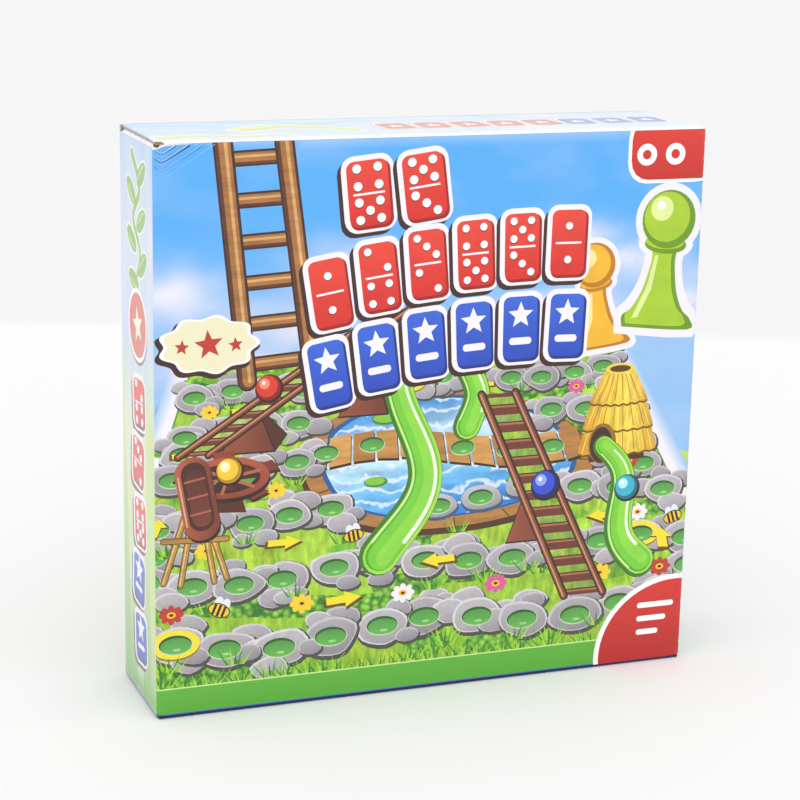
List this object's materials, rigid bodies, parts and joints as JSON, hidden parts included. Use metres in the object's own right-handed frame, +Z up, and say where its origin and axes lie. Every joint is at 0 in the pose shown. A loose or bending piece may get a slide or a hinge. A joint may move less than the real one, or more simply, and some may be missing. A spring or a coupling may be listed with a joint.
{
  "type": "boxed snakes and ladders board game",
  "caption": "Standing tuck-top carton of a three-dimensional snakes and ladders game, with its moulded board, slides, ladders and small pieces packed in a card insert.",
  "frame": {"origin": "middle of the carton's base, on the surface that it stands on", "axes": "+Z up, +X to the right across the carton's front, -Y out of the printed front"},
  "size_m": [0.27, 0.062, 0.268],
  "materials": {
    "printed_board": "fluted board laminated with a glossy printed sheet",
    "navy_board": "fluted board laminated with a glossy navy sheet",
    "plain_board": "bare brown fluted board",
    "white_card": "plain white card, matte",
    "leaflet_paper": "uncoated printing paper",
    "board_sheet": "printed card sheet, satin",
    "green_plastic": "moulded bright green plastic",
    "lime_plastic": "moulded lime green plastic",
    "olive_plastic": "moulded olive plastic",
    "brown_plastic": "moulded brown plastic",
    "yellow_plastic": "moulded yellow plastic",
    "red_plastic": "moulded red plastic",
    "blue_plastic": "moulded blue plastic",
    "teal_plastic": "moulded teal plastic",
    "white_plastic": "moulded white plastic"
  },
  "bodies": {
    "carton": {"front_panel": "printed_board", "back_panel": "printed_board", "left_side_panel": "printed_board", "right_side_panel": "printed_board", "seam_flap": "plain_board", "bottom_outer_flap": "navy_board", "bottom_inner_flap": "plain_board", "bottom_dust_flap_left": "plain_board", "bottom_dust_flap_right": "plain_board", "insert_tray": "white_card", "lower_shelf": "white_card", "upper_shelf": "white_card", "ladder_divider": "white_card", "slide_divider_1": "white_card", "slide_divider_2": "white_card", "slide_divider_3": "white_card", "small_divider_1": "white_card", "small_divider_2": "white_card", "small_divider_3": "white_card", "small_divider_4": "white_card", "small_divider_5": "white_card", "rules_leaflet": "leaflet_paper", "game_board_base": "green_plastic", "game_board_sheet": "board_sheet", "forked_snake_slide": "lime_plastic", "wavy_snake_slide": "green_plastic", "short_snake_slide": "lime_plastic", "long_ladder_trestle": "yellow_plastic", "short_ladder_trestle": "yellow_plastic", "leaning_ladder": "brown_plastic", "wheel_base": "yellow_plastic", "dipper_stand": "brown_plastic", "hut_shell": "yellow_plastic", "snake_head": "olive_plastic", "ball_red": "red_plastic", "ball_blue": "blue_plastic", "ball_yellow": "yellow_plastic", "ball_teal": "teal_plastic", "die": "white_plastic"},
    "cover": {"top_cover": "printed_board"},
    "tuck": {"top_tuck_flap": "printed_board"},
    "dust_left": {"top_dust_flap_left": "white_card"},
    "dust_right": {"top_dust_flap_right": "white_card"},
    "long_tipper": {"long_ladder": "brown_plastic"},
    "short_tipper": {"short_ladder": "brown_plastic"},
    "wheel": {"paddle_wheel": "red_plastic"},
    "dipper": {"dipper_lever": "red_plastic"}
  },
  "joints": [
    {"name": "cover_fold", "type": "hinge", "parent": "carton", "child": "cover", "pos_m": [0, -0.031, 0.2665], "axis": [1, 0, 0], "range_deg": [0, 180]},
    {"name": "tuck_fold", "type": "hinge", "parent": "cover", "child": "tuck", "pos_m": [0, 0.0292, 0.2665], "axis": [1, 0, 0], "range_deg": [0, 45]},
    {"name": "dust_left_fold", "type": "hinge", "parent": "carton", "child": "dust_left", "pos_m": [-0.135, 0, 0.2649], "axis": [0, -1, 0], "range_deg": [0, 90]},
    {"name": "dust_right_fold", "type": "hinge", "parent": "carton", "child": "dust_right", "pos_m": [0.135, 0, 0.2649], "axis": [0, 1, 0], "range_deg": [0, 90]},
    {"name": "long_ladder_tip", "type": "hinge", "parent": "carton", "child": "long_tipper", "pos_m": [-0.05645, -0.0145, 0.0171], "axis": [0, 0, 1], "range_deg": [-8, 8]},
    {"name": "short_ladder_tip", "type": "hinge", "parent": "carton", "child": "short_tipper", "pos_m": [0.07475, -0.0145, 0.0171], "axis": [0, 0, 1], "range_deg": [-10, 10]},
    {"name": "wheel_turn", "type": "hinge", "parent": "carton", "child": "wheel", "pos_m": [-0.09947, 0, 0.20363], "axis": [0, 1, 0], "continuous": true},
    {"name": "dipper_tip", "type": "hinge", "parent": "carton", "child": "dipper", "pos_m": [-0.03392, -0.0155, 0.18766], "axis": [0, 0, 1], "range_deg": [-10, 10]}
  ],
  "couplings": [
    {"joint": "tuck_fold", "follows": "cover_fold", "ratio": 0.25},
    {"joint": "dust_left_fold", "follows": "cover_fold", "ratio": 0.5},
    {"joint": "dust_right_fold", "follows": "cover_fold", "ratio": 0.5}
  ]
}
